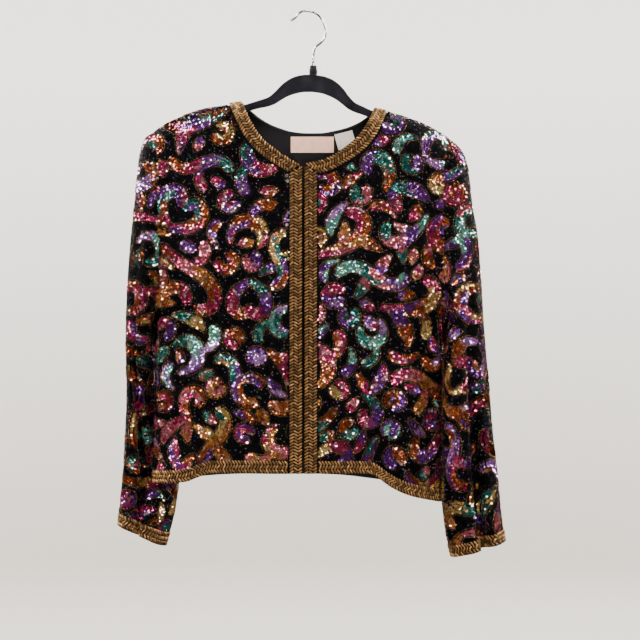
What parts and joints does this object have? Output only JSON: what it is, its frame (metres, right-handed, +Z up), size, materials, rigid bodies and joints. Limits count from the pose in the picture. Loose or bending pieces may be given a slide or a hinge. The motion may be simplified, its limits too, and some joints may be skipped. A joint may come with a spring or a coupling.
{
  "type": "beaded evening jacket on a clothes hanger",
  "caption": "Cropped collarless jacket with beaded scroll pattern and gold braid edges, hanging on a flocked hanger with a wire hook.",
  "frame": {"origin": "underside of the wire hook's top, where a rod carries it", "axes": "+Z up, front of the jacket faces -Y, wearer's left is +X"},
  "size_m": [0.537, 0.1319, 0.7522],
  "materials": {
    "beaded_cloth": "silk covered in black seed beads with coloured sequin scrolls",
    "gold_braid": "braid of gold bugle beads in a herringbone",
    "lining": "black satin lining",
    "label_cloth": "pink woven label, blank",
    "tag_cloth": "white care tag, blank",
    "flock": "black flock",
    "wire": "bright chrome wire"
  },
  "bodies": {
    "root": {"front_right": "beaded_cloth", "front_left": "beaded_cloth", "back": "beaded_cloth", "sleeve_right": "beaded_cloth", "sleeve_left": "beaded_cloth", "neck_trim": "gold_braid", "front_trim_right": "gold_braid", "front_trim_left": "gold_braid", "hem_trim_right": "gold_braid", "hem_trim_left": "gold_braid", "hem_trim_back": "gold_braid", "cuff_trim_right": "gold_braid", "cuff_trim_left": "gold_braid", "back_neck_lining": "lining", "neck_label": "label_cloth", "care_tag": "tag_cloth", "hanger": "flock", "hook_collar": "flock", "hanger_hook": "wire"}
  },
  "joints": []
}
